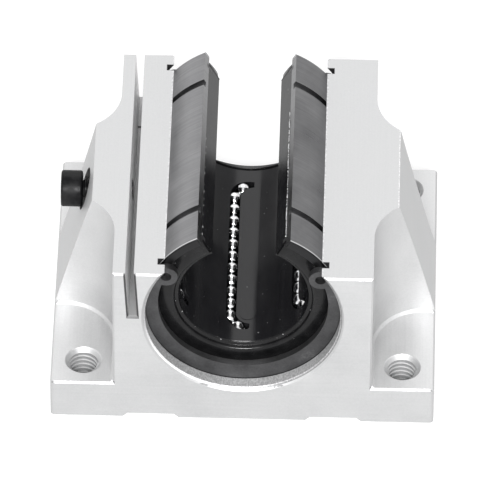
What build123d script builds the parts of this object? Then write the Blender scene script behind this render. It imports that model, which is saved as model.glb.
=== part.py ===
from build123d import *

import os
from math import cos, degrees, floor, radians, sin, sqrt, tan

# Open linear bearing block for a 30 mm shaft on a supported rail, in millimetres.
# It stands on its mounting face with the open side up. X runs across the block, Y along
# the shaft and Z up, and the origin is the middle of the mounting face.

# Block
BLOCK_WIDTH = 89.0
BLOCK_LENGTH = 75.0
BLOCK_HEIGHT = 46.0
BASE_THICKNESS = 11.0
BOSS_TOP_WIDTH = 71.0
CORNER_RADIUS = 1.0
EDGE_CHAMFER = 0.4
BORE_CHAMFER = 0.8

# Corner pockets that leave room for the bolts, milled down to the base
POCKET_WALL_MARGIN = 7.4
POCKET_END_RADIUS = 12.5
POCKET_FLOOR_CHAMFER = 0.6
WEB_THICKNESS = 21.8

# Tapped corner holes, a little nearer to the pocket's wall than to the block's side
BOLT_INSET = 0.2
BOLT_SPACING_Y = 60.0
TAPPED_HOLE_DIAMETER = 6.8
COUNTERSINK_DIAMETER = 8.7
COUNTERSINK_ANGLE = 90.0

# Relief channels along the mounting face
CHANNEL_SPACING = 42.4
CHANNEL_WIDTH = 13.0
CHANNEL_DEPTH = 1.05
CHANNEL_SIDE_SLOPE = 1.1

# Shaft and bearing
SHAFT_DIAMETER = 30.0
AXIS_HEIGHT = 32.5
BEARING_WALL = 7.5
BEARING_LENGTH = 64.0
BEARING_OPENING_ANGLE = 56.8
SLEEVE_WALL = 2.1
SLEEVE_CHAMFER = 0.4
SLEEVE_GROOVE_SPACING = 44.5
SLEEVE_GROOVE_WIDTH = 1.85
SLEEVE_GROOVE_DEPTH = 1.0
SEAT_CLEARANCE = 0.02

# Circlips that hold the bearing in the block
CIRCLIP_GROOVE_DEPTH = 1.25
CIRCLIP_GROOVE_WIDTH = 1.85
CIRCLIP_CLEARANCE = 0.05
CIRCLIP_WIDTH = 4.1
CIRCLIP_TAPER = 1.25
CIRCLIP_LUG_ANGLE = 28.0
CIRCLIP_LUG_INSET = 3.6
CIRCLIP_LUG_RADIUS = 2.7
CIRCLIP_LUG_HOLE_DIAMETER = 2.5

# Balls and their circuits
BALL_DIAMETER = 3.969
BALL_GAP = 0.021
BALL_ROW_SPACING_ANGLE = 62.0
BOTTOM_ROW_ANGLE = -101.5
RETURN_ROW_ANGLE = 25.6
TURN_BALL_ANGLE = 60.0
BALL_CLEARANCE = 0.1

# Raceway lands inside the sleeve
LAND_WIDTH = 3.3
LAND_OVERRUN = 0.85

# Ball retainer
RETAINER_SHAFT_CLEARANCE = 0.2
RETAINER_END_CHAMFER = 0.3
RETAINER_END_WALL = 1.5
ISLAND_HEIGHT = 0.1

# Stop rings that hold the retainer in the sleeve
STOP_RING_THICKNESS = 1.0
STOP_RING_WIDTH = 2.3
STOP_RING_SEAT_DEPTH = 0.7
STOP_RING_CLEARANCE = 0.05

# End seals: a roll that swells towards the shaft, and behind it a thin lip that runs on the shaft
SEAL_THICKNESS = 2.5
SEAL_RECESS = 0.3
SEAL_FLANK_DROP = 1.0
SEAL_FLANK_SWELL = 0.2
SEAL_CREST_WIDTH = 0.7
SEAL_CREST_ROUNDING = 0.5
SEAL_LIP_WIDTH = 1.1
SEAL_LIP_RECESS = 1.9
SEAL_LIP_TILT = 0.3
SEAL_LIP_THICKNESS = 0.5

# Clamp slit beside the bearing, and the wall left between its foot and the bore
SLIT_WIDTH = 2.0
SLIT_DEPTH = 13.4
SLIT_TILT = 3.0
SLIT_FOOT_WALL = 1.8

# Adjusting screw
SCREW_DEPTH = 8.6
SCREW_HEAD_DIAMETER = 8.5
SCREW_HEAD_HEIGHT = 5.0
SCREW_HEAD_STAND_OFF = 0.5
SCREW_LENGTH = 10.0
SCREW_DIAMETER = 4.9
SCREW_CLEARANCE = 0.05
SCREW_CHAMFER = 0.4
SCREW_SOCKET_WIDTH = 4.0
SCREW_SOCKET_DEPTH = 2.5
COUNTERBORE_CLEARANCE = 0.65
COUNTERBORE_DEPTH = 3.4

# Worked out from the sizes above
half_length = BLOCK_LENGTH / 2
bearing_half = BEARING_LENGTH / 2
shaft_radius = SHAFT_DIAMETER / 2
sleeve_radius = shaft_radius + BEARING_WALL
sleeve_inner_radius = sleeve_radius - SLEEVE_WALL
bore_radius = sleeve_radius + SEAT_CLEARANCE
circlip_groove_radius = sleeve_radius + CIRCLIP_GROOVE_DEPTH
ball_radius = BALL_DIAMETER / 2
ball_pitch = BALL_DIAMETER + BALL_GAP
loaded_radius = shaft_radius + ball_radius
return_radius = sleeve_inner_radius - ball_radius - SEAT_CLEARANCE
land_radius = loaded_radius + ball_radius + SEAT_CLEARANCE
channel_radius = ball_radius + BALL_CLEARANCE
retainer_radius = sleeve_inner_radius - SEAT_CLEARANCE
island_radius = shaft_radius + RETAINER_SHAFT_CLEARANCE
seal_far = bearing_half - SEAL_RECESS
seal_near = seal_far - SEAL_THICKNESS
stop_ring_near = seal_near - STOP_RING_CLEARANCE - STOP_RING_THICKNESS
retainer_half = seal_near - STOP_RING_CLEARANCE
retainer_shoulder = stop_ring_near - STOP_RING_CLEARANCE
stop_groove_radius = sleeve_inner_radius + STOP_RING_SEAT_DEPTH
stop_groove_width = STOP_RING_THICKNESS + 2 * STOP_RING_CLEARANCE
stop_ring_outer = stop_groove_radius - STOP_RING_CLEARANCE
stop_ring_inner = stop_ring_outer - STOP_RING_WIDTH
bearing_arc = 360 - BEARING_OPENING_ANGLE
cutting_arc = 360 - BEARING_OPENING_ANGLE / 2
opening_edge_angle = 90 + BEARING_OPENING_ANGLE / 2
beyond = BLOCK_WIDTH

shaft_axis = Axis((0, 0, AXIS_HEIGHT), (0, -1, 0))
loaded_row_angles = [BOTTOM_ROW_ANGLE + BALL_ROW_SPACING_ANGLE * step for step in (-2, -1, 0, 1, 2)]
ends = {"front": 1, "rear": -1}


def around_axis(radius, angle):
    """The place at a radius and an angle around the shaft axis, halfway along the block."""
    turn = radians(angle)
    return Vector(radius * cos(turn), 0, AXIS_HEIGHT + radius * sin(turn))


def ring_section(outer, inner, middle=-90, spread=bearing_arc, distance=0):
    """A sector of a ring around the shaft axis, this far in front of the block's middle."""
    start = middle - spread / 2
    with BuildSketch(Plane.XZ.offset(distance)) as section:
        with BuildLine():
            outer_arc = CenterArc((0, AXIS_HEIGHT), outer, start, spread)
            inner_arc = CenterArc((0, AXIS_HEIGHT), inner, start, spread)
            Line(outer_arc @ 0, inner_arc @ 0)
            Line(outer_arc @ 1, inner_arc @ 1)
        make_face()
    return section.sketch


def turned_section(points):
    """A profile of (radius, distance in front of the middle) points at the opening's edge."""
    radial = around_axis(1, opening_edge_angle) - around_axis(0, opening_edge_angle)
    with BuildSketch(Plane((0, 0, AXIS_HEIGHT), radial, radial.cross(Vector(0, -1, 0)))) as section:
        Polygon(*points, align=None)
    return section.sketch


def circuit_plane(loaded_angle):
    """The tilted plane that holds a circuit: its loaded row lies at -X, its return row at +X."""
    loaded = around_axis(loaded_radius, loaded_angle)
    returning = around_axis(return_radius, loaded_angle + RETURN_ROW_ANGLE)
    across = returning - loaded
    return Plane((loaded + returning) / 2, across, across.cross(Vector(0, 1, 0)))


# A row has as many balls as fit between the turns at its two ends
turn_radius = (around_axis(return_radius, RETURN_ROW_ANGLE) - around_axis(loaded_radius, 0)).length / 2
row_room = 2 * (retainer_shoulder - RETAINER_END_WALL - channel_radius - turn_radius)
balls_in_row = floor(row_room / ball_pitch) + 1
row_half_length = ball_pitch * (balls_in_row - 1) / 2
land_half_length = row_half_length + LAND_OVERRUN

# Housing
pocket_wall_x = sleeve_radius + POCKET_WALL_MARGIN
pocket_x = pocket_wall_x + POCKET_END_RADIUS
bolt_x = (pocket_wall_x + BLOCK_WIDTH / 2) / 2 - BOLT_INSET
pocket_y = WEB_THICKNESS / 2 + POCKET_END_RADIUS
channel_near = (CHANNEL_SPACING - CHANNEL_WIDTH) / 2
channel_far = channel_near + CHANNEL_WIDTH

slit_lean = SLIT_DEPTH * sin(radians(SLIT_TILT))
slit_x = -(bore_radius + SLIT_FOOT_WALL + SLIT_WIDTH / 2 + slit_lean)
screw_height = BLOCK_HEIGHT - SCREW_DEPTH
slope = (BLOCK_WIDTH - BOSS_TOP_WIDTH) / 2 / (BLOCK_HEIGHT - BASE_THICKNESS)
face_at_screw = BOSS_TOP_WIDTH / 2 + slope * SCREW_DEPTH
screw_radius = SCREW_DIAMETER / 2
screw_head_radius = SCREW_HEAD_DIAMETER / 2
screw_seat_x = -(face_at_screw + SCREW_HEAD_STAND_OFF)

with BuildPart() as housing:
    with BuildSketch(Plane.XZ) as block_section:
        with BuildLine() as right_half:
            Polyline(
                (0, 0),
                (channel_near, 0),
                (channel_near + CHANNEL_SIDE_SLOPE, CHANNEL_DEPTH),
                (channel_far - CHANNEL_SIDE_SLOPE, CHANNEL_DEPTH),
                (channel_far, 0),
                (BLOCK_WIDTH / 2, 0),
                (BLOCK_WIDTH / 2, BASE_THICKNESS),
                (BOSS_TOP_WIDTH / 2, BLOCK_HEIGHT),
                (0, BLOCK_HEIGHT),
                close=True,
            )
        make_face()
        mirror(about=Plane.YZ)
    extrude(amount=half_length, both=True)
    fillet(housing.edges().filter_by(Axis.Z), CORNER_RADIUS)

    # Corner pockets, each as a round-ended cutter leaves it
    with BuildSketch(Plane.XY.offset(BASE_THICKNESS)) as pockets:
        with Locations((pocket_x, pocket_y)):
            Circle(POCKET_END_RADIUS)
            Rectangle(2 * POCKET_END_RADIUS, half_length, align=(Align.CENTER, Align.MIN))
        mirror(about=Plane.XZ)
        mirror(about=Plane.YZ)
    extrude(amount=BLOCK_HEIGHT, mode=Mode.SUBTRACT)

    # Bearing bore, open at the top, with a circlip groove at each end of the bearing
    with BuildSketch(Plane.XZ) as bore:
        with Locations((0, AXIS_HEIGHT)):
            Circle(bore_radius)
    extrude(amount=half_length, both=True, mode=Mode.SUBTRACT)
    for side in ends.values():
        with BuildSketch(Plane.XZ.offset(side * bearing_half)) as circlip_groove:
            with Locations((0, AXIS_HEIGHT)):
                Circle(circlip_groove_radius)
        extrude(amount=side * CIRCLIP_GROOVE_WIDTH, mode=Mode.SUBTRACT)
        with BuildSketch(Plane.XZ.offset(side * (half_length - BORE_CHAMFER))) as bore_mouth:
            with Locations((0, AXIS_HEIGHT)):
                Circle(bore_radius)
        extrude(amount=side * 2 * BORE_CHAMFER, taper=-45, mode=Mode.SUBTRACT)

    # Clamp slit, leaning towards the bearing
    with BuildSketch(Plane.XZ) as slit:
        with Locations((slit_x, BLOCK_HEIGHT)):
            Rectangle(SLIT_WIDTH, 2 * SLIT_DEPTH, rotation=SLIT_TILT)
    extrude(amount=half_length, both=True, mode=Mode.SUBTRACT)

    # Hole of the adjusting screw, from the slope into the slit
    with BuildSketch(Plane.YZ.offset(slit_x)) as screw_hole:
        with Locations((0, screw_height)):
            Circle(screw_radius + SCREW_CLEARANCE)
    extrude(amount=-beyond, mode=Mode.SUBTRACT)
    with BuildSketch(Plane.YZ.offset(COUNTERBORE_DEPTH - face_at_screw)) as counterbore:
        with Locations((0, screw_height)):
            Circle(screw_head_radius + COUNTERBORE_CLEARANCE)
    extrude(amount=-beyond, mode=Mode.SUBTRACT)

    # Straight edges of the two end faces, then the tapped holes
    end_faces = housing.faces().filter_by(Axis.Y).group_by(Axis.Y)
    end_edges = end_faces[0].edges() + end_faces[-1].edges()
    chamfer(end_edges.filter_by(GeomType.LINE), EDGE_CHAMFER)
    base_top_edges = housing.faces().filter_by(Axis.Z).edges().filter_by_position(
        Axis.Z, BASE_THICKNESS - EDGE_CHAMFER / 2, BASE_THICKNESS + EDGE_CHAMFER / 2
    )
    floor_corners = [
        edge
        for edge in base_top_edges
        if abs(edge.center().X) < BLOCK_WIDTH / 2 - CORNER_RADIUS
        and abs(edge.center().Y) < half_length - CORNER_RADIUS
    ]
    chamfer(floor_corners, POCKET_FLOOR_CHAMFER)
    with Locations(Plane.XY.offset(BASE_THICKNESS)):
        with GridLocations(2 * bolt_x, BOLT_SPACING_Y, 2, 2):
            CounterSinkHole(
                TAPPED_HOLE_DIAMETER / 2,
                COUNTERSINK_DIAMETER / 2,
                depth=BASE_THICKNESS,
                counter_sink_angle=COUNTERSINK_ANGLE,
            )
housing.part.label = "housing"

# Bearing sleeve, with a raceway land over each loaded row
land_angle = degrees(LAND_WIDTH / land_radius)

with BuildPart() as bearing_sleeve:
    extrude(ring_section(sleeve_radius, sleeve_inner_radius), amount=bearing_half, both=True)
    end_faces = bearing_sleeve.faces().filter_by(Axis.Y)
    chamfer(end_faces.edges().filter_by(GeomType.CIRCLE).group_by(SortBy.RADIUS)[-1], SLEEVE_CHAMFER)
    for angle in loaded_row_angles:
        land = ring_section(sleeve_inner_radius + SLEEVE_WALL / 2, land_radius, angle, land_angle)
        extrude(land, amount=land_half_length, both=True)
    for side in ends.values():
        outer_groove = ring_section(
            sleeve_radius + SLEEVE_GROOVE_DEPTH,
            sleeve_radius - SLEEVE_GROOVE_DEPTH,
            spread=cutting_arc,
            distance=side * (SLEEVE_GROOVE_SPACING / 2 - SLEEVE_GROOVE_WIDTH),
        )
        extrude(outer_groove, amount=side * SLEEVE_GROOVE_WIDTH, mode=Mode.SUBTRACT)
        stop_groove = ring_section(
            stop_groove_radius,
            sleeve_inner_radius - STOP_RING_SEAT_DEPTH,
            spread=cutting_arc,
            distance=side * retainer_shoulder,
        )
        extrude(stop_groove, amount=side * stop_groove_width, mode=Mode.SUBTRACT)
bearing_sleeve.part.label = "bearing_sleeve"

# Islands of the retainer, which stand a little proud towards the shaft inside each circuit
channel_flat = channel_radius * tan(radians(22.5))
channel_reach = retainer_radius - shaft_radius
islands = []
for angle in loaded_row_angles:
    with BuildPart() as island:
        with BuildSketch(circuit_plane(angle)) as island_outline:
            SlotCenterToCenter(2 * row_half_length, 2 * (turn_radius - channel_radius), rotation=90)
        extrude(amount=channel_reach)
        island_layer = ring_section(retainer_radius, island_radius)
        extrude(island_layer, amount=retainer_half, both=True, mode=Mode.INTERSECT)
    islands.append(island.part)

# Ball retainer, rebated at its ends for the stop rings: its ball channels are open to the sleeve,
# and on their loaded side they break through to the shaft as narrow hooked slots
with BuildPart() as ball_retainer:
    retainer_face = ring_section(retainer_radius, island_radius + ISLAND_HEIGHT)
    extrude(retainer_face, amount=retainer_half, both=True)
    for side in ends.values():
        stop_ring_rebate = ring_section(
            retainer_radius + SEAT_CLEARANCE,
            stop_ring_inner - STOP_RING_CLEARANCE,
            spread=cutting_arc,
            distance=side * retainer_shoulder,
        )
        extrude(stop_ring_rebate, amount=side * stop_groove_width, mode=Mode.SUBTRACT)
    end_faces = ball_retainer.faces().filter_by(Axis.Y)
    inner_edges = end_faces.edges().filter_by(GeomType.CIRCLE).group_by(SortBy.RADIUS)[0]
    chamfer(inner_edges, RETAINER_END_CHAMFER)
    add(islands)
    for angle in loaded_row_angles:
        circuit = circuit_plane(angle)
        with BuildLine(circuit) as track:
            Line((turn_radius, -row_half_length), (turn_radius, row_half_length))
            CenterArc((0, row_half_length), turn_radius, 0, 180)
            Line((-turn_radius, row_half_length), (-turn_radius, -row_half_length))
            CenterArc((0, -row_half_length), turn_radius, 180, 180)
        with BuildSketch(Plane(track.line @ 0, circuit.x_dir, circuit.y_dir)) as channel:
            Polygon(
                (-channel_radius, channel_reach),
                (-channel_radius, -channel_flat),
                (-channel_flat, -channel_radius),
                (channel_flat, -channel_radius),
                (channel_radius, -channel_flat),
                (channel_radius, channel_reach),
                align=None,
            )
        sweep(mode=Mode.SUBTRACT)
ball_retainer.part.label = "ball_retainer"

# One ball, cut from a cube with its corners on the true sphere
ball_flats = BALL_DIAMETER / sqrt(1 + 2 * (sqrt(2) - 1) ** 2)

with BuildPart() as ball:
    Box(ball_flats, ball_flats, ball_flats)
    chamfer(ball.edges(), ball_flats / (2 + sqrt(2)))

# Ball rows: a loaded row under the shaft's load, and its return row with the balls in the turns
row_steps = [ball_pitch * index - row_half_length for index in range(balls_in_row)]
turn_side = turn_radius * cos(radians(TURN_BALL_ANGLE))
turn_reach = row_half_length + turn_radius * sin(radians(TURN_BALL_ANGLE))
loaded_places = [(-turn_radius, step) for step in row_steps]
return_places = [(turn_radius, step) for step in row_steps]
return_places += [(x, y) for x in (-turn_side, turn_side) for y in (-turn_reach, turn_reach)]

ball_rows = {}
for number, angle in enumerate(loaded_row_angles, 1):
    circuit = circuit_plane(angle)
    for row, places in (("loaded", loaded_places), ("return", return_places)):
        with BuildPart() as ball_row:
            with Locations(*[circuit.location * Location((x, y, 0)) for x, y in places]):
                add(ball.part)
        ball_row.part.label = f"{row}_balls_{number}"
        ball_rows[ball_row.part.label] = ball_row.part

# End seals, stop rings and circlips
seal_radius = sleeve_inner_radius - SEAT_CLEARANCE
lip_root_radius = shaft_radius + SEAL_LIP_WIDTH
crest_inner_radius = lip_root_radius + SEAL_CREST_ROUNDING
crest_outer_radius = crest_inner_radius + SEAL_CREST_WIDTH
flank_middle_radius = (seal_radius + crest_outer_radius) / 2
lip_far = seal_far - SEAL_LIP_RECESS
circlip_outer_radius = circlip_groove_radius - CIRCLIP_CLEARANCE
circlip_thickness = CIRCLIP_GROOVE_WIDTH - 2 * CIRCLIP_CLEARANCE
lug_places = [
    around_axis(circlip_outer_radius - CIRCLIP_LUG_INSET, angle)
    for angle in (CIRCLIP_LUG_ANGLE, 180 - CIRCLIP_LUG_ANGLE)
]
end_rings = {}

for end, side in ends.items():
    with BuildPart() as seal:
        seal_profile = turned_section(
            [
                (seal_radius, side * seal_near),
                (seal_radius, side * (seal_far - SEAL_FLANK_DROP)),
                (flank_middle_radius, side * (seal_far - SEAL_FLANK_DROP / 2 + SEAL_FLANK_SWELL)),
                (crest_outer_radius, side * seal_far),
                (crest_inner_radius, side * seal_far),
                (lip_root_radius, side * (seal_far - SEAL_CREST_ROUNDING)),
                (lip_root_radius, side * (lip_far + SEAL_LIP_TILT)),
                (shaft_radius, side * lip_far),
                (shaft_radius, side * (lip_far - SEAL_LIP_THICKNESS)),
                (lip_root_radius, side * seal_near),
            ]
        )
        revolve(seal_profile, axis=shaft_axis, revolution_arc=bearing_arc)
    seal.part.label = f"{end}_seal"

    with BuildPart() as stop_ring:
        stop_ring_face = ring_section(stop_ring_outer, stop_ring_inner, distance=side * stop_ring_near)
        extrude(stop_ring_face, amount=side * STOP_RING_THICKNESS)
    stop_ring.part.label = f"{end}_stop_ring"

    with BuildPart() as circlip:
        with BuildSketch(Plane.XZ.offset(side * (bearing_half + CIRCLIP_CLEARANCE))) as clip_face:
            with Locations((0, AXIS_HEIGHT)):
                Circle(circlip_outer_radius)
            with Locations((0, AXIS_HEIGHT + CIRCLIP_TAPER)):
                Circle(circlip_outer_radius - CIRCLIP_WIDTH, mode=Mode.SUBTRACT)
            gap_reach = beyond / tan(radians(CIRCLIP_LUG_ANGLE))
            gap_top = AXIS_HEIGHT + beyond
            Polygon(
                (0, AXIS_HEIGHT), (gap_reach, gap_top), (-gap_reach, gap_top), align=None, mode=Mode.SUBTRACT
            )
            with Locations(*[(place.X, place.Z) for place in lug_places]):
                Circle(CIRCLIP_LUG_RADIUS)
                Circle(CIRCLIP_LUG_HOLE_DIAMETER / 2, mode=Mode.SUBTRACT)
        extrude(amount=side * circlip_thickness)
    circlip.part.label = f"{end}_circlip"
    end_rings[end] = [seal.part, stop_ring.part, circlip.part]

# Adjusting screw, turned about X, with its head towards -X
with BuildPart() as adjusting_screw:
    with BuildSketch(Plane.YZ.offset(screw_seat_x)) as head:
        with Locations((0, screw_height)):
            Circle(screw_head_radius)
    extrude(amount=-SCREW_HEAD_HEIGHT)
    with BuildSketch(Plane.YZ.offset(screw_seat_x)) as shank:
        with Locations((0, screw_height)):
            Circle(screw_radius)
    extrude(amount=SCREW_LENGTH)
    rims = adjusting_screw.faces().filter_by(Axis.X).sort_by(Axis.X)
    chamfer([*rims[0].edges(), *rims[-1].edges()], SCREW_CHAMFER)
    with BuildSketch(Plane.YZ.offset(screw_seat_x - SCREW_HEAD_HEIGHT)) as socket:
        with Locations((0, screw_height)):
            RegularPolygon(SCREW_SOCKET_WIDTH / 2, 6, major_radius=False)
    extrude(amount=SCREW_SOCKET_DEPTH, mode=Mode.SUBTRACT)
adjusting_screw.part.label = "adjusting_screw"

# One file for each piece
os.makedirs("parts", exist_ok=True)
pieces = [housing.part, bearing_sleeve.part, ball_retainer.part, adjusting_screw.part]
pieces += [*end_rings["front"], *end_rings["rear"], *ball_rows.values()]
for piece in pieces:
    export_step(piece, f"parts/{piece.label}.step")
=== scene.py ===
from math import cos, pi, radians, sin, tan
from random import Random

import bpy
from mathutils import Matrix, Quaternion, Vector


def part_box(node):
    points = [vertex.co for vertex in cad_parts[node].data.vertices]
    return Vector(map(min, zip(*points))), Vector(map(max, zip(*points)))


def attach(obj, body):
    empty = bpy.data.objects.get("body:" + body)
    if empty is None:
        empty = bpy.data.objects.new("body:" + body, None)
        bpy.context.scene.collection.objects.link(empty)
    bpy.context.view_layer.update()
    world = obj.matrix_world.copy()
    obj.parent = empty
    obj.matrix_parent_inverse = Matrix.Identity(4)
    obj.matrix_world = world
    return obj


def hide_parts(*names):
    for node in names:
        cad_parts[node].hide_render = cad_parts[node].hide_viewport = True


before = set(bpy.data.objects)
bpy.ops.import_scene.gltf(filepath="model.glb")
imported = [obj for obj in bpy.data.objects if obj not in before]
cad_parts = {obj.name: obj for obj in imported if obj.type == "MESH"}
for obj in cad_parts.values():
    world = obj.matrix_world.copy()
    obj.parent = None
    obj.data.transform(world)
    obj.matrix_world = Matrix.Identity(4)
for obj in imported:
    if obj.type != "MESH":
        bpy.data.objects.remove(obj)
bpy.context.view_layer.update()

MM = 0.001

# Block, in metres
BLOCK_HEIGHT = 46 * MM
BASE_TOP = 11 * MM
AXIS_HEIGHT = 32.5 * MM
JAW_EDGE_X = 35.5 * MM
POCKET_RADIUS = 12.5 * MM
POCKET_X = 42.4 * MM
POCKET_Y = 23.4 * MM
HOLE_SPACING_X = 74 * MM
HOLE_SPACING_Y = 60 * MM
TAPPED_HOLE_RADIUS = 3.4 * MM

# Clamp slit, which leans towards the bearing, and the line of painted shade where the saw was set off again
SLIT_TOP_X = -26 * MM
SLIT_FOOT = 32.6 * MM
SLIT_LEAN = radians(3)
SLIT_REACH = 1.04 * MM
SLIT_MOUTH_REACH = 1.43 * MM
SAW_STEP_Y = 26.6 * MM

# Bearing
SLEEVE_BORE_RADIUS = 20.4 * MM
OPENING_EDGE_ANGLE = 61.6
BEARING_ARC = 303.2
BALL_RADIUS = 1.9845 * MM
BALL_PITCH = 3.99 * MM
BALLS_IN_ROW = 11
LOADED_RADIUS = 16.9845 * MM
RETURN_RADIUS = 18.3955 * MM
BOTTOM_ROW_ANGLE = -101.5
ROW_SPACING_ANGLE = 62.0
RETURN_ROW_ANGLE = 25.6
TURN_BALL_ANGLE = radians(60)

# Section of the front seal: radius, and distance from the bearing's middle, in millimetres
SEAL_SECTION = [
    (20.33, 29.25), (20.33, 30.22), (19.6, 30.43), (18.9, 30.58), (18.2, 30.68), (17.5, 30.74),
    (16.9, 30.76), (16.5, 30.72), (16.2, 30.6), (16.0, 30.4), (15.9, 30.1), (15.86, 29.75),
    (15.5, 29.62), (15.05, 29.55), (15.05, 29.35), (15.8, 29.25),
]

# Adjusting screw
SCREW_LOW, SCREW_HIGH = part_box("adjusting_screw")
SCREW_MIDDLE = (SCREW_LOW + SCREW_HIGH) / 2
SCREW_HEAD_RADIUS = (SCREW_HIGH.z - SCREW_LOW.z) / 2
SCREW_HEAD_HEIGHT = 5 * MM
SCREW_SEAT_X = SCREW_LOW.x + SCREW_HEAD_HEIGHT
SCREW_ROOT_RADIUS = 2.08 * MM
SCREW_CREST_RADIUS = 2.44 * MM
SCREW_PITCH = 0.8 * MM
SCREW_TURNS = 11
SCREW_THREAD_START = 0.3 * MM
SOCKET_FLATS = 4 * MM
SOCKET_DEPTH = 2.5 * MM
SCREW_HOLE_RADIUS = 2.62 * MM
SPOT_FACE_RADIUS = 4.95 * MM

# Threads of the corner holes
HOLE_CREST_RADIUS = 3.15 * MM
HOLE_THREAD_PITCH = 1.25 * MM
HOLE_THREAD_TURNS = 7
HOLE_THREAD_START = 1.1 * MM
THREAD_STEPS = 28

# Greys of single places on the aluminium, most of them painted highlight or painted shade
# Painted highlight on the left part of the bore's mouth, fading upwards.
MOUTH_HIGHLIGHT = (0.9, 0.9, 0.903)
TORN_METAL = (0.7, 0.7, 0.703)
SLIT_FLOOR_GREY = (0.33, 0.33, 0.332)
BROKEN_EDGE_GREY = (0.16, 0.16, 0.162)
# Painted shade on the inner part of the chamfer at the bore's mouth.
MOUTH_SHADE = (0.15, 0.15, 0.152)
# Painted shade in the counterbore for the screw's head.
SPOT_FACE_SHADE = (0.11, 0.11, 0.111)
SLIT_RIM_SHADE = (0.07, 0.07, 0.071)
STEP_SHADE = (0.04, 0.04, 0.041)
HOLLOW_SHADE = (0.025, 0.025, 0.026)


# Modelling helpers

def deselect_everything():
    if bpy.context.object and bpy.context.object.mode != "OBJECT":
        bpy.ops.object.mode_set(mode="OBJECT")
    bpy.ops.object.select_all(action="DESELECT")


def only_select(piece):
    deselect_everything()
    piece.select_set(True)
    bpy.context.view_layer.objects.active = piece


def apply_modifiers(piece):
    only_select(piece)
    for modifier in list(piece.modifiers):
        bpy.ops.object.modifier_apply(modifier=modifier.name)


def settle(piece):
    """Puts the piece's place into its mesh, with its object at the origin."""
    only_select(piece)
    bpy.ops.object.transform_apply(location=True, rotation=True, scale=True)


def copy_of(piece, name):
    twin = piece.copy()
    twin.data = piece.data.copy()
    twin.name = name
    bpy.context.scene.collection.objects.link(twin)
    return twin


def joined(pieces, name):
    deselect_everything()
    for piece in pieces:
        piece.select_set(True)
    bpy.context.view_layer.objects.active = pieces[0]
    bpy.ops.object.join()
    pieces[0].name = name
    pieces[0].data.name = name
    return pieces[0]


def bevelled(piece, width, segments, degrees):
    """Rounds the piece's edges that are sharper than so many degrees."""
    bevel = piece.modifiers.new("rounded_edges", "BEVEL")
    bevel.width = width
    bevel.segments = segments
    bevel.limit_method = "ANGLE"
    bevel.angle_limit = radians(degrees)
    apply_modifiers(piece)


def smooth_by_angle(piece, degrees):
    only_select(piece)
    bpy.ops.object.shade_smooth_by_angle(angle=radians(degrees))


def around_axis(radius, angle):
    """The point at this radius and angle, in degrees, about the shaft's axis."""
    turn = radians(angle)
    return Vector((radius * cos(turn), 0, AXIS_HEIGHT + radius * sin(turn)))


def along_shaft(distance):
    return Vector((0, distance, 0))


def finished(piece, material, body, slot, *nodes):
    piece.data.materials.clear()
    piece.data.materials.append(material)
    settle(piece)
    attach(piece, body)
    if nodes:
        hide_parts(*nodes)


# Material helpers

def new_material(name):
    material = bpy.data.materials.new(name)
    material.use_nodes = True
    tree = material.node_tree
    return material, tree, tree.nodes["Principled BSDF"]


def node(tree, kind, **values):
    made = tree.nodes.new(kind)
    for key, value in values.items():
        setattr(made, key, value)
    return made


def place_of(tree):
    return tree.nodes.new("ShaderNodeTexCoord").outputs["Object"]


def separated(tree, vector):
    """The X, Y and Z of a vector, as sockets."""
    made = node(tree, "ShaderNodeSeparateXYZ")
    tree.links.new(vector, made.inputs[0])
    return made.outputs


def maths(tree, operation, first, second=0.0, clamp=False):
    made = node(tree, "ShaderNodeMath", operation=operation, use_clamp=clamp)
    for socket, value in zip(made.inputs, (first, second)):
        if isinstance(value, (int, float)):
            socket.default_value = value
        else:
            tree.links.new(value, socket)
    return made.outputs[0]


def product(tree, first, *others):
    for other in others:
        first = maths(tree, "MULTIPLY", first, other)
    return first


def weighed(tree, *parts):
    """The sum of values, each given with its weight."""
    total = None
    for value, weight in parts:
        part = maths(tree, "MULTIPLY", value, weight)
        total = part if total is None else maths(tree, "ADD", total, part)
    return total


def distance(tree, across, along):
    """The length of the line that goes so far across and so far along."""
    squares = [maths(tree, "MULTIPLY", side, side) for side in (across, along)]
    return maths(tree, "SQRT", maths(tree, "ADD", *squares))


def noise(tree, vector, stretch, detail):
    """Noise whose grains are 1 / stretch metres long, along all axes or along each of three."""
    if isinstance(stretch, int):
        stretch = (stretch, stretch, stretch)
    mapping = node(tree, "ShaderNodeMapping")
    mapping.inputs["Scale"].default_value = stretch
    tree.links.new(vector, mapping.inputs["Vector"])
    made = node(tree, "ShaderNodeTexNoise")
    made.inputs["Scale"].default_value = 1.0
    made.inputs["Detail"].default_value = detail
    made.inputs["Roughness"].default_value = 0.55
    tree.links.new(mapping.outputs[0], made.inputs["Vector"])
    return made.outputs["Fac"]


def between(tree, factor, low, high, start=0.0, end=1.0):
    """A value that goes from low to high as factor goes from start to end."""
    made = node(tree, "ShaderNodeMapRange")
    for name, value in (("From Min", start), ("From Max", end), ("To Min", low), ("To Max", high)):
        made.inputs[name].default_value = value
    tree.links.new(factor, made.inputs["Value"])
    return made.outputs["Result"]


def past(tree, value, edge, blend):
    """0 where value is less than edge, rising to 1 over blend."""
    return between(tree, value, 0, 1, edge, edge + blend)


def short_of(tree, value, edge, blend):
    """1 where value is less than edge, falling to 0 over blend."""
    return between(tree, value, 1, 0, edge, edge + blend)


def within(tree, value, middle, reach, blend):
    """1 where value is less than reach from middle, falling to 0 over blend."""
    offset = maths(tree, "ABSOLUTE", maths(tree, "SUBTRACT", value, middle))
    return short_of(tree, offset, reach, blend)


def grey_ramp(tree, factor, stops):
    made = node(tree, "ShaderNodeValToRGB")
    ramp = made.color_ramp
    while len(ramp.elements) < len(stops):
        ramp.elements.new(0.5)
    for element, (place, colour) in zip(ramp.elements, stops):
        element.position = place
        element.color = (*colour, 1)
    tree.links.new(factor, made.inputs["Fac"])
    return made.outputs["Color"]


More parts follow.
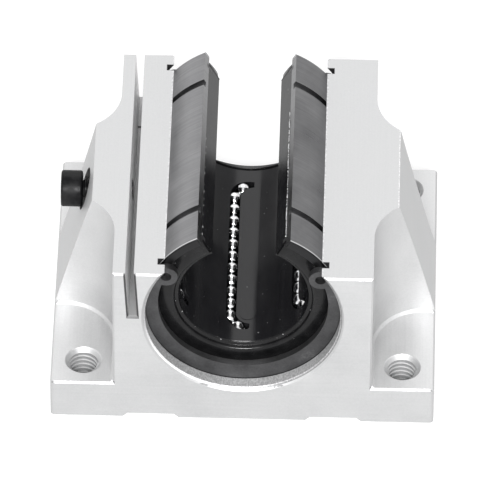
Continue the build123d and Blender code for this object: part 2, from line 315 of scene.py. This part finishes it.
def blended(tree, factor, first, second):
    """The first colour where factor is 0, the second, a socket or a plain colour, where it is 1."""
    made = node(tree, "ShaderNodeMix", data_type="RGBA")
    tree.links.new(factor, made.inputs["Factor"])
    tree.links.new(first, made.inputs["A"])
    if isinstance(second, tuple):
        made.inputs["B"].default_value = (*second, 1)
    else:
        tree.links.new(second, made.inputs["B"])
    return made.outputs["Result"]


def bump(tree, height, depth, strength, under=None):
    made = node(tree, "ShaderNodeBump")
    made.inputs["Distance"].default_value = depth
    made.inputs["Strength"].default_value = strength
    tree.links.new(height, made.inputs["Height"])
    if under is not None:
        tree.links.new(under, made.inputs["Normal"])
    return made.outputs["Normal"]


def radius_about_axis(tree):
    """Distance of a point from the shaft's axis."""
    centred = node(tree, "ShaderNodeVectorMath", operation="SUBTRACT")
    tree.links.new(place_of(tree), centred.inputs[0])
    centred.inputs[1].default_value = (0, 0, AXIS_HEIGHT)
    flat = node(tree, "ShaderNodeVectorMath", operation="MULTIPLY")
    tree.links.new(centred.outputs[0], flat.inputs[0])
    flat.inputs[1].default_value = (1, 0, 1)
    length = node(tree, "ShaderNodeVectorMath", operation="LENGTH")
    tree.links.new(flat.outputs[0], length.inputs[0])
    return length.outputs["Value"]


def with_dust(tree, colour, amount):
    """The colour with tiny pale specks where a fine noise peaks."""
    peaks = between(tree, noise(tree, place_of(tree), 1500, 1), 0, amount, 0.78, 0.81)
    return blended(tree, peaks, colour, (0.55, 0.55, 0.55))


# Places on the block painted unlike the rest of its aluminium, most of them with painted light or painted
# shade, each 1 inside and 0 outside

def slit_places(tree, x, y, z, from_middle):
    """The slit's walls and floor, with painted light, its floor alone, the saw's step in it as a painted
    line of shade, and its rim on the end faces in painted shade.
    """
    across = maths(tree, "ADD", x, maths(tree, "MULTIPLY", z, tan(SLIT_LEAN)))
    heart = SLIT_TOP_X + BLOCK_HEIGHT * tan(SLIT_LEAN)
    above_foot = past(tree, z, SLIT_FOOT - 0.6 * MM, 0.05 * MM)
    inside = product(
        tree,
        within(tree, across, heart, SLIT_REACH, 0.03 * MM),
        above_foot,
        short_of(tree, z, BLOCK_HEIGHT - 0.5 * MM, 0.4 * MM),
    )
    floor = product(tree, inside, short_of(tree, z, SLIT_FOOT + 0.3 * MM, 0.1 * MM))
    saw_step = product(tree, floor, within(tree, y, SAW_STEP_Y, 0.3 * MM, 0.15 * MM))
    rim = product(
        tree,
        within(tree, across, heart, SLIT_MOUTH_REACH, 0.03 * MM),
        above_foot,
        past(tree, from_middle, 37.08 * MM, 0.04 * MM),
    )
    return inside, floor, saw_step, rim


def bore_places(tree, x, z, from_middle):
    """The bore, the painted shadow line behind the circlip, its groove in painted shade, the chamfer at the
    mouth in painted shade, and a painted highlight on the mouth's left part.
    """
    from_axis = radius_about_axis(tree)
    inside = short_of(tree, from_axis, 22.7 * MM, 0.2 * MM)
    shadow_behind_ring = product(tree, inside, within(tree, from_middle, 33.9 * MM, 0.04 * MM, 0.06 * MM))
    groove = product(
        tree,
        within(tree, from_axis, 23.25 * MM, 0.63 * MM, 0.02 * MM),
        within(tree, from_middle, 32.95 * MM, 1.0 * MM, 0.03 * MM),
    )
    mouth = product(
        tree,
        within(tree, from_axis, 22.75 * MM, 0.13 * MM, 0.05 * MM),
        past(tree, from_middle, 36.72 * MM, 0.04 * MM),
    )
    mouth_highlight_at_left = product(
        tree,
        mouth,
        short_of(tree, x, -12 * MM, 7 * MM),
        between(tree, z, 1, 0.3, 20 * MM, 30 * MM),
    )
    return inside, shadow_behind_ring, groove, mouth, mouth_highlight_at_left


def pocket_painted_light(tree, x, z, from_middle):
    """The round walls and the floors of the corner pockets, where light is painted, fainter towards the top.
    """
    from_cutter = distance(
        tree,
        maths(tree, "SUBTRACT", maths(tree, "ABSOLUTE", x), POCKET_X),
        maths(tree, "MINIMUM", maths(tree, "SUBTRACT", from_middle, POCKET_Y), 0.0),
    )
    return product(
        tree,
        short_of(tree, from_cutter, POCKET_RADIUS + 0.02 * MM, 0.04 * MM),
        past(tree, z, BASE_TOP - 0.3 * MM, 0.2 * MM),
        between(tree, z, 1, 0.25, 14 * MM, 36 * MM),
    )


def screw_places(tree, x, z, from_middle):
    """The screw's hole up to the slit, and the counterbore for its head, both painted in shade."""
    from_screw = distance(tree, maths(tree, "SUBTRACT", z, SCREW_MIDDLE.z), from_middle)
    hole = product(
        tree,
        within(tree, from_screw, 0.0, SCREW_HOLE_RADIUS, 0.03 * MM),
        short_of(tree, x, -25 * MM, 0.1 * MM),
    )
    spot_face = product(
        tree,
        within(tree, from_screw, 0.0, SPOT_FACE_RADIUS, 0.03 * MM),
        short_of(tree, x, -30 * MM, 0.1 * MM),
    )
    return hole, spot_face


def edge_places(tree, x, z, from_middle, nicks, torn):
    """Broken places along the level end edges, and the torn top edge of the right jaw."""
    level_edge = maths(
        tree, "MAXIMUM",
        within(tree, z, BLOCK_HEIGHT, 0.45 * MM, 0.02 * MM),
        within(tree, z, BASE_TOP, 0.45 * MM, 0.02 * MM),
    )
    broken = product(
        tree,
        within(tree, from_middle, 37.3 * MM, 0.17 * MM, 0.01 * MM),
        between(tree, nicks, 0, 0.8, 0.41, 0.5),
        level_edge,
    )
    torn_off = product(
        tree,
        within(tree, x, JAW_EDGE_X - 0.17 * MM, 0.1 * MM, 0.02 * MM),
        past(tree, z, BLOCK_HEIGHT - 0.06 * MM, 0.03 * MM),
        between(tree, torn, 0, 0.8, 0.46, 0.54),
    )
    return broken, torn_off


def drawn_or_milled(tree, place, drawn):
    """Fine lines along the shaft, or across it where a face looks along the shaft."""
    milled = noise(tree, place, (60, 2200, 2600), 2)
    normal = tree.nodes.new("ShaderNodeTexCoord").outputs["Normal"]
    end_face = between(tree, maths(tree, "ABSOLUTE", separated(tree, normal)["Y"]), 0, 1, 0.6, 0.9)
    mixed = node(tree, "ShaderNodeMix", data_type="FLOAT")
    tree.links.new(end_face, mixed.inputs["Factor"])
    tree.links.new(drawn, mixed.inputs["A"])
    tree.links.new(milled, mixed.inputs["B"])
    return mixed.outputs["Result"]


# Materials

def satin_aluminium():
    material, tree, shader = new_material("satin_aluminium")
    place = place_of(tree)
    x, y, z = separated(tree, place)
    from_middle = maths(tree, "ABSOLUTE", y)

    cloudy = noise(tree, place, 55, 4)
    speckle = noise(tree, place, 2600, 2)
    torn = noise(tree, place, (3000, 1600, 3000), 2)
    nicks = noise(tree, place, 1300, 2)
    drawn = noise(tree, place, (2200, 35, 2200), 2)
    lines = drawn_or_milled(tree, place, drawn)
    tone = weighed(tree, (cloudy, 0.5), (speckle, 0.3), (lines, 0.2))

    in_slit, slit_floor, saw_step, slit_rim = slit_places(tree, x, y, z, from_middle)
    in_bore, shadow_behind_ring, ring_groove, mouth, mouth_highlight_at_left = bore_places(tree, x, z, from_middle)
    in_pocket = pocket_painted_light(tree, x, z, from_middle)
    screw_hole, spot_face = screw_places(tree, x, z, from_middle)
    broken_edge, torn_edge = edge_places(tree, x, z, from_middle, nicks, torn)

    colour = grey_ramp(tree, tone, [
        (0.3, (0.37, 0.372, 0.376)), (0.5, (0.425, 0.427, 0.43)), (0.7, (0.475, 0.476, 0.478))])
    # Painted light in the corner pockets: a brighter grey, strongest near their floors.
    pocket_painted_light_grey = grey_ramp(tree, tone, [(0.3, (0.43, 0.431, 0.434)), (0.7, (0.565, 0.566, 0.568))])
    # Painted light on the slit's walls: sawn lines in a grey far brighter than the aluminium around them.
    sawn_lines_painted_light = grey_ramp(tree, drawn, [(0.38, (0.6, 0.6, 0.603)), (0.62, (0.97, 0.97, 0.973))])
    bored = grey_ramp(tree, torn, [(0.38, (0.25, 0.25, 0.255)), (0.62, (0.72, 0.72, 0.725))])
    for where, paint in (
        (in_pocket, pocket_painted_light_grey),
        (broken_edge, BROKEN_EDGE_GREY),
        (mouth, MOUTH_SHADE),
        (mouth_highlight_at_left, MOUTH_HIGHLIGHT),
        (torn_edge, TORN_METAL),
        (in_slit, sawn_lines_painted_light),
        (slit_floor, SLIT_FLOOR_GREY),
        (maths(tree, "MULTIPLY", in_bore, 0.4), bored),
        # Painted shade: a dark line across the slit's floor at the saw's step, and a painted shadow line
        # behind the circlip.
        (maths(tree, "MAXIMUM", saw_step, shadow_behind_ring), STEP_SHADE),
        (slit_rim, SLIT_RIM_SHADE),
        # Painted shade in the counterbore, the circlip's groove and the screw's hole.
        (spot_face, SPOT_FACE_SHADE),
        (maths(tree, "MAXIMUM", ring_groove, screw_hole), HOLLOW_SHADE),
    ):
        colour = blended(tree, where, colour, paint)

    tree.links.new(colour, shader.inputs["Base Color"])
    tree.links.new(between(tree, tone, 0.42, 0.56, 0.35, 0.65), shader.inputs["Roughness"])
    tree.links.new(between(tree, in_bore, 0.6, 0.5), shader.inputs["Metallic"])
    rough = bump(tree, speckle, 0.00003, 0.55)
    tree.links.new(bump(tree, lines, 0.00002, 0.5, rough), shader.inputs["Normal"])
    return material


def ground_steel():
    """Grey ground steel, with a bright line of wear and painted highlight at the chamfers, and dark end
    faces.
    """
    material, tree, shader = new_material("ground_sleeve_steel")
    place = place_of(tree)
    rings = noise(tree, place, (70, 3200, 70), 3)
    stains = noise(tree, place, (120, 90, 120), 5)
    tone = weighed(tree, (rings, 0.35), (stains, 0.65))
    from_middle = maths(tree, "ABSOLUTE", separated(tree, place)["Y"])
    # Wear and painted highlight: a bright line along the chamfers at the sleeve's ends.
    chamfer = within(tree, from_middle, 31.6 * MM, 0.06 * MM, 0.05 * MM)
    end_face = past(tree, from_middle, 31.69 * MM, 0.04 * MM)
    turned = grey_ramp(tree, tone, [
        (0.32, (0.12, 0.12, 0.124)), (0.5, (0.165, 0.165, 0.169)), (0.7, (0.225, 0.225, 0.229))])
    turned = blended(tree, end_face, turned, (0.03, 0.03, 0.031))
    turned = blended(tree, chamfer, turned, (0.6, 0.6, 0.605))
    tree.links.new(turned, shader.inputs["Base Color"])
    tree.links.new(between(tree, stains, 0.26, 0.42, 0.3, 0.7), shader.inputs["Roughness"])
    shader.inputs["Metallic"].default_value = 1.0
    tree.links.new(bump(tree, rings, 0.00001, 0.5), shader.inputs["Normal"])
    return material


def polished_ball_steel():
    material, tree, shader = new_material("polished_ball_steel")
    haze = noise(tree, place_of(tree), 900, 3)
    bright = grey_ramp(tree, haze, [(0.35, (0.70, 0.70, 0.71)), (0.65, (0.80, 0.80, 0.81))])
    tree.links.new(bright, shader.inputs["Base Color"])
    tree.links.new(between(tree, haze, 0.05, 0.11, 0.35, 0.65), shader.inputs["Roughness"])
    shader.inputs["Metallic"].default_value = 1.0
    return material


def moulded_plastic():
    material, tree, shader = new_material("moulded_retainer_plastic")
    place = place_of(tree)
    flow = noise(tree, place, (140, 60, 140), 4)
    pits = noise(tree, place, 2400, 2)
    black = grey_ramp(tree, flow, [(0.35, (0.007, 0.007, 0.008)), (0.65, (0.012, 0.012, 0.013))])
    tree.links.new(with_dust(tree, black, 0.35), shader.inputs["Base Color"])
    tree.links.new(between(tree, flow, 0.13, 0.24, 0.35, 0.65), shader.inputs["Roughness"])
    shader.inputs["Specular IOR Level"].default_value = 0.13
    ripple = bump(tree, flow, 0.0001, 0.35)
    tree.links.new(bump(tree, pits, 0.000006, 0.35, ripple), shader.inputs["Normal"])
    return material


def seal_rubber():
    material, tree, shader = new_material("seal_rubber")
    place = place_of(tree)
    bloom = noise(tree, place, 260, 5)
    grain = noise(tree, place, 3800, 2)
    black = grey_ramp(tree, bloom, [(0.35, (0.004, 0.004, 0.0043)), (0.7, (0.009, 0.009, 0.0095))])
    tree.links.new(with_dust(tree, black, 0.6), shader.inputs["Base Color"])
    tree.links.new(between(tree, bloom, 0.16, 0.30, 0.35, 0.65), shader.inputs["Roughness"])
    shader.inputs["Specular IOR Level"].default_value = 0.2
    tree.links.new(bump(tree, grain, 0.00001, 0.5), shader.inputs["Normal"])
    return material


def dark_ring_steel():
    """Phosphated spring steel, with painted shadow where the ring meets the bore's wall."""
    material, tree, shader = new_material("phosphated_ring_steel")
    place = place_of(tree)
    crystals = noise(tree, place, 2200, 3)
    rubbed = noise(tree, place, 200, 5)
    tone = weighed(tree, (crystals, 0.35), (rubbed, 0.65))
    grey = grey_ramp(tree, tone, [
        (0.35, (0.035, 0.035, 0.036)), (0.6, (0.065, 0.065, 0.067)), (0.75, (0.12, 0.12, 0.12))])
    shadow_at_bore_wall = within(tree, radius_about_axis(tree), 22.55 * MM, 0.12 * MM, 0.1 * MM)
    tree.links.new(blended(tree, shadow_at_bore_wall, grey, (0.01, 0.01, 0.01)), shader.inputs["Base Color"])
    tree.links.new(between(tree, tone, 0.36, 0.52, 0.35, 0.65), shader.inputs["Roughness"])
    shader.inputs["Metallic"].default_value = 0.75
    tree.links.new(bump(tree, crystals, 0.00001, 0.5), shader.inputs["Normal"])
    return material


def black_oxide_steel():
    """Mottled black steel, duller on the shank than on the head."""
    material, tree, shader = new_material("black_oxide_screw_steel")
    place = place_of(tree)
    patches = noise(tree, place, 300, 5)
    grain = noise(tree, place, 3000, 2)
    black = grey_ramp(tree, patches, [
        (0.4, (0.004, 0.004, 0.0045)), (0.55, (0.011, 0.011, 0.0115)), (0.7, (0.026, 0.025, 0.024))])
    tree.links.new(black, shader.inputs["Base Color"])
    on_shank = between(tree, separated(tree, place)["X"], 0, 0.45, -31 * MM, -30 * MM)
    roughness = maths(tree, "ADD", between(tree, patches, 0.32, 0.62, 0.4, 0.6), on_shank)
    tree.links.new(roughness, shader.inputs["Roughness"])
    shader.inputs["Metallic"].default_value = 0.1
    shader.inputs["Specular IOR Level"].default_value = 0.12
    tree.links.new(bump(tree, grain, 0.000008, 0.5), shader.inputs["Normal"])
    return material


ALUMINIUM = satin_aluminium()
SLEEVE_STEEL = ground_steel()
BALL_STEEL = polished_ball_steel()
PLASTIC = moulded_plastic()
RUBBER = seal_rubber()
RING_STEEL = dark_ring_steel()
SCREW_STEEL = black_oxide_steel()

cad_materials = {
    "housing": ALUMINIUM,
    "bearing_sleeve": SLEEVE_STEEL,
    "ball_retainer": PLASTIC,
    "front_seal": RUBBER,
    "rear_seal": RUBBER,
    "front_stop_ring": RING_STEEL,
    "rear_stop_ring": RING_STEEL,
    "front_circlip": RING_STEEL,
    "rear_circlip": RING_STEEL,
    "adjusting_screw": SCREW_STEEL,
}
for name, cad_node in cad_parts.items():
    cad_node.data.materials.clear()
    cad_node.data.materials.append(cad_materials.get(name, BALL_STEEL))


# Balls of the five circuits

def modelled_ball():
    """A round ball from a cube, subdivided and cast to a sphere."""
    deselect_everything()
    bpy.ops.mesh.primitive_cube_add(size=2 * BALL_RADIUS)
    ball = bpy.context.object
    bpy.ops.object.mode_set(mode="EDIT")
    bpy.ops.mesh.select_all(action="SELECT")
    bpy.ops.mesh.subdivide(number_cuts=3)
    bpy.ops.object.mode_set(mode="OBJECT")
    cast = ball.modifiers.new("round", "CAST")
    cast.factor = 1.0
    cast.use_radius_as_size = False
    cast.size = BALL_RADIUS
    apply_modifiers(ball)
    only_select(ball)
    bpy.ops.object.shade_smooth()
    return ball


def circuit_rows(number):
    """Places of the balls in a circuit's loaded row, and in its return row with both turns."""
    angle = BOTTOM_ROW_ANGLE + ROW_SPACING_ANGLE * (number - 3)
    loaded = around_axis(LOADED_RADIUS, angle)
    returning = around_axis(RETURN_RADIUS, angle + RETURN_ROW_ANGLE)
    steps = [BALL_PITCH * (index - (BALLS_IN_ROW - 1) / 2) for index in range(BALLS_IN_ROW)]
    outward = (returning - loaded) / 2
    turn_end = steps[-1] + outward.length * sin(TURN_BALL_ANGLE)
    turns = [
        (loaded + returning) / 2 + outward * side * cos(TURN_BALL_ANGLE) + along_shaft(end * turn_end)
        for side in (-1, 1) for end in (-1, 1)
    ]
    return {
        f"loaded_balls_{number}": [loaded + along_shaft(step) for step in steps],
        f"return_balls_{number}": [returning + along_shaft(step) for step in steps] + turns,
    }


pattern_ball = modelled_ball()
for number in range(1, 6):
    for node_name, places in circuit_rows(number).items():
        balls = []
        for place in places:
            ball = copy_of(pattern_ball, "ball")
            ball.location = place
            balls.append(ball)
        row = joined(balls, "round_" + node_name)
        finished(row, BALL_STEEL, "block", "ball_steel", node_name)
bpy.data.objects.remove(pattern_ball)


# End seals, each a swelling roll with a thin lip behind it

def rolled_seal(end_name, end):
    """The seal's section, drawn point by point and spun round the shaft's axis."""
    points = [around_axis(radius * MM, OPENING_EDGE_ANGLE) + along_shaft(end * reach * MM)
              for radius, reach in SEAL_SECTION]
    deselect_everything()
    bpy.ops.mesh.primitive_plane_add(size=MM, location=points[0])
    seal = bpy.context.object
    settle(seal)
    bpy.ops.object.mode_set(mode="EDIT")
    bpy.ops.mesh.select_all(action="SELECT")
    bpy.ops.mesh.merge(type="CENTER")
    for before, after in zip(points, points[1:]):
        bpy.ops.mesh.extrude_region_move(TRANSFORM_OT_translate={"value": after - before})
    bpy.ops.mesh.select_all(action="SELECT")
    bpy.ops.mesh.edge_face_add()
    bpy.ops.mesh.select_all(action="SELECT")
    bpy.ops.mesh.spin(steps=96, angle=radians(BEARING_ARC), center=(0, 0, AXIS_HEIGHT), axis=(0, -1, 0))
    bpy.ops.mesh.select_all(action="SELECT")
    bpy.ops.mesh.remove_doubles(threshold=0.001 * MM)
    bpy.ops.mesh.normals_make_consistent(inside=False)
    bpy.ops.object.mode_set(mode="OBJECT")
    bevelled(seal, 0.2 * MM, 3, 50)
    smooth_by_angle(seal, 45)
    seal.name = end_name + "_rolled_seal"
    finished(seal, RUBBER, "block", "seal_rubber", end_name + "_seal")


rolled_seal("front", -1)
rolled_seal("rear", 1)


# Threads

def thread(name, root_radius, crest_radius, pitch, turns, foot_width):
    """A helical ridge about Z that starts at Z = 0, from a section turned by the Screw modifier."""
    deselect_everything()
    bpy.ops.mesh.primitive_plane_add(size=1)
    ridge = bpy.context.object
    ridge.name = name
    bpy.ops.object.mode_set(mode="EDIT")
    bpy.ops.mesh.select_all(action="SELECT")
    bpy.ops.transform.rotate(value=pi / 2, orient_axis="X", center_override=(0, 0, 0))
    bpy.ops.transform.resize(value=(abs(crest_radius - root_radius), 1, foot_width))
    bpy.ops.transform.translate(value=((crest_radius + root_radius) / 2, 0, 0))
    bpy.ops.mesh.select_all(action="DESELECT")
    bpy.ops.object.mode_set(mode="OBJECT")
    for vertex in ridge.data.vertices:
        if abs(vertex.co.x - crest_radius) < 0.001 * MM:
            vertex.select = True
    bpy.ops.object.mode_set(mode="EDIT")
    bpy.ops.transform.resize(value=(1, 1, 0.3), center_override=(crest_radius, 0, 0))
    bpy.ops.mesh.select_all(action="SELECT")
    bpy.ops.mesh.delete(type="ONLY_FACE")
    bpy.ops.object.mode_set(mode="OBJECT")
    helix = ridge.modifiers.new("helix", "SCREW")
    helix.axis = "Z"
    helix.screw_offset = pitch
    helix.iterations = turns
    helix.steps = THREAD_STEPS
    helix.render_steps = THREAD_STEPS
    apply_modifiers(ridge)
    bpy.ops.object.mode_set(mode="EDIT")
    bpy.ops.mesh.select_all(action="SELECT")
    bpy.ops.mesh.fill_holes(sides=4)
    bpy.ops.mesh.select_all(action="SELECT")
    bpy.ops.mesh.normals_make_consistent(inside=False)
    bpy.ops.object.mode_set(mode="OBJECT")
    smooth_by_angle(ridge, 25)
    return ridge


hole_thread = thread("hole_thread", TAPPED_HOLE_RADIUS + 0.5 * MM, HOLE_CREST_RADIUS,
                     HOLE_THREAD_PITCH, HOLE_THREAD_TURNS, 1.15 * MM)
for side_name, side in (("left", -1), ("right", 1)):
    for end_name, end in (("front", -1), ("rear", 1)):
        ridge = copy_of(hole_thread, f"{end_name}_{side_name}_thread")
        ridge.location = (side * HOLE_SPACING_X / 2, end * HOLE_SPACING_Y / 2, HOLE_THREAD_START)
        finished(ridge, ALUMINIUM, "block", "housing_aluminium")
bpy.data.objects.remove(hole_thread)


# Adjusting screw with a round-edged head, a hexagon socket and a thread

ALONG_X = (0, pi / 2, 0)


def rod_along_x(vertices, radius, depth, middle_x):
    deselect_everything()
    bpy.ops.mesh.primitive_cylinder_add(
        vertices=vertices, radius=radius, depth=depth,
        location=(middle_x, SCREW_MIDDLE.y, SCREW_MIDDLE.z), rotation=ALONG_X)
    rod = bpy.context.object
    settle(rod)
    return rod


head = rod_along_x(64, SCREW_HEAD_RADIUS, SCREW_HEAD_HEIGHT, (SCREW_LOW.x + SCREW_SEAT_X) / 2)
bevelled(head, 0.55 * MM, 4, 60)
socket_cutter = rod_along_x(6, SOCKET_FLATS / 2 / cos(radians(30)), 2 * SOCKET_DEPTH, SCREW_LOW.x)
socket = head.modifiers.new("socket", "BOOLEAN")
socket.object = socket_cutter
socket.operation = "DIFFERENCE"
apply_modifiers(head)
bpy.data.objects.remove(socket_cutter)
smooth_by_angle(head, 30)

shank_length = SCREW_HIGH.x - SCREW_SEAT_X
shank = rod_along_x(48, SCREW_ROOT_RADIUS, shank_length, SCREW_SEAT_X + shank_length / 2)
bevelled(shank, 0.4 * MM, 2, 60)
smooth_by_angle(shank, 30)

screw_thread = thread("screw_thread", SCREW_ROOT_RADIUS - 0.05 * MM, SCREW_CREST_RADIUS,
                      SCREW_PITCH, SCREW_TURNS, 0.76 * MM)
screw_thread.rotation_euler = ALONG_X
screw_thread.location = (SCREW_SEAT_X + SCREW_THREAD_START, SCREW_MIDDLE.y, SCREW_MIDDLE.z)
settle(screw_thread)
cap_screw = joined([head, shank, screw_thread], "cap_screw")
finished(cap_screw, SCREW_STEEL, "adjusting_screw", "screw_steel", "adjusting_screw")


# Fine burrs that sawing and milling left along some edges

def burr_line(name, start, end, count, size, seed):
    """Slivers of uneven size, scattered along an edge."""
    chance = Random(seed)
    slivers = []
    for index in range(count):
        deselect_everything()
        bpy.ops.mesh.primitive_cone_add(vertices=5, radius1=size * 0.5, radius2=size * 0.1, depth=size * 0.8)
        sliver = bpy.context.object
        stretch = chance.uniform(1.2, 4.5)
        sliver.scale = (chance.uniform(0.4, 0.9), stretch, chance.uniform(0.4, 1.1))
        sliver.rotation_euler = (
            chance.uniform(-0.4, 0.4), chance.uniform(-0.5, 0.5), chance.uniform(-0.15, 0.15))
        along = (index + chance.uniform(-0.35, 0.35)) / max(count - 1, 1)
        sliver.location = start.lerp(end, min(max(along, 0), 1))
        settle(sliver)
        slivers.append(sliver)
    finished(joined(slivers, name), ALUMINIUM, "block", "housing_aluminium")


LIP_RADIUS = SLEEVE_BORE_RADIUS - 0.05 * MM
for name, edge, front, rear, count, size, seed in (
    ("right_sleeve_burr", around_axis(LIP_RADIUS, 61.9), -28, 13, 46, 0.38, 3),
    ("left_sleeve_burr", around_axis(LIP_RADIUS, 118.1), -28, 4, 12, 0.2, 5),
    ("right_edge_burr", Vector((JAW_EDGE_X, 0, BLOCK_HEIGHT)), -9.5, 9.5, 38, 0.26, 7),
    ("left_edge_burr", Vector((-JAW_EDGE_X, 0, BLOCK_HEIGHT)), -9.5, 9.5, 16, 0.14, 9),
):
    burr_line(name, edge + along_shaft(front * MM), edge + along_shaft(rear * MM), count, size * MM, seed)


# Camera, from the photograph's vanishing lines and the block's corners

LOOK_AT = Vector((0, 0, 22 * MM))
CAMERA_AZIMUTH = 0.01964714
CAMERA_ELEVATION = 0.76139801
CAMERA_DISTANCE = 2.00694
CAMERA_ROLL = 0.00823
CAMERA_LENS = 643.70
AIM_LEFT = 1.522 * MM

back = Vector((sin(CAMERA_AZIMUTH) * cos(CAMERA_ELEVATION),
               -cos(CAMERA_AZIMUTH) * cos(CAMERA_ELEVATION), sin(CAMERA_ELEVATION)))
right = Vector((cos(CAMERA_AZIMUTH), sin(CAMERA_AZIMUTH), 0))
camera_data = bpy.data.cameras.new("camera")
camera_data.lens = CAMERA_LENS
camera_data.sensor_width = 36
camera_data.clip_end = 20
camera = bpy.data.objects.new("camera", camera_data)
bpy.context.scene.collection.objects.link(camera)
camera.location = LOOK_AT + back * CAMERA_DISTANCE
aim = LOOK_AT - right * AIM_LEFT - camera.location
camera.rotation_mode = "QUATERNION"
camera.rotation_quaternion = aim.to_track_quat("-Z", "Y") @ Quaternion((0, 0, 1), CAMERA_ROLL)
bpy.context.scene.camera = camera


# Floor, world and lamps

FLOOR_GREY = 0.44
FLOOR_GLOW = 0.62
WORLD_STRENGTH = 0.62


def seen_directly(tree):
    """1 for rays that look at the background or mirror it, 0 for the light it gives."""
    rays = tree.nodes.new("ShaderNodeLightPath")
    straight = maths(tree, "ADD", rays.outputs["Is Camera Ray"], rays.outputs["Is Glossy Ray"])
    return maths(tree, "ADD", straight, rays.outputs["Is Transmission Ray"], clamp=True)


def pale_floor():
    deselect_everything()
    bpy.ops.mesh.primitive_plane_add(size=6, location=(0, 0, 0))
    floor = bpy.context.object
    floor.name = "pale_floor"
    material, tree, shader = new_material("pale_floor")
    shader.inputs["Base Color"].default_value = (FLOOR_GREY, FLOOR_GREY, FLOOR_GREY, 1)
    shader.inputs["Roughness"].default_value = 0.9
    shader.inputs["Specular IOR Level"].default_value = 0.0
    shader.inputs["Emission Color"].default_value = (1, 1, 1, 1)
    glow = maths(tree, "MULTIPLY", seen_directly(tree), FLOOR_GLOW)
    tree.links.new(glow, shader.inputs["Emission Strength"])
    floor.data.materials.append(material)


def studio_world():
    world = bpy.data.worlds.new("studio")
    bpy.context.scene.world = world
    world.use_nodes = True
    tree = world.node_tree
    background = tree.nodes["Background"]
    background.inputs["Color"].default_value = (1, 1, 1, 1)
    strength = between(tree, seen_directly(tree), WORLD_STRENGTH, 1.0)
    tree.links.new(strength, background.inputs["Strength"])


def soft_box(name, place, target, size, watts):
    lamp = bpy.data.lights.new(name, "AREA")
    lamp.shape = "RECTANGLE"
    lamp.size, lamp.size_y = size
    lamp.energy = watts
    box = bpy.data.objects.new(name, lamp)
    bpy.context.scene.collection.objects.link(box)
    box.location = place
    box.rotation_mode = "QUATERNION"
    box.rotation_quaternion = (Vector(target) - Vector(place)).to_track_quat("-Z", "Y")


pale_floor()
studio_world()
soft_box("front_soft_box", (0.0, -1.05, 0.85), (0, 0, 0.02), (0.45, 0.3), 29)
soft_box("back_soft_box", (0.0, 0.9, 0.95), (0, 0, 0.02), (0.7, 0.5), 2.7)
soft_box("left_soft_box", (-0.95, 0.95, 0.35), (0, 0, 0.03), (0.7, 0.5), 1.2)

scene = bpy.context.scene
scene.view_settings.view_transform = "Standard"
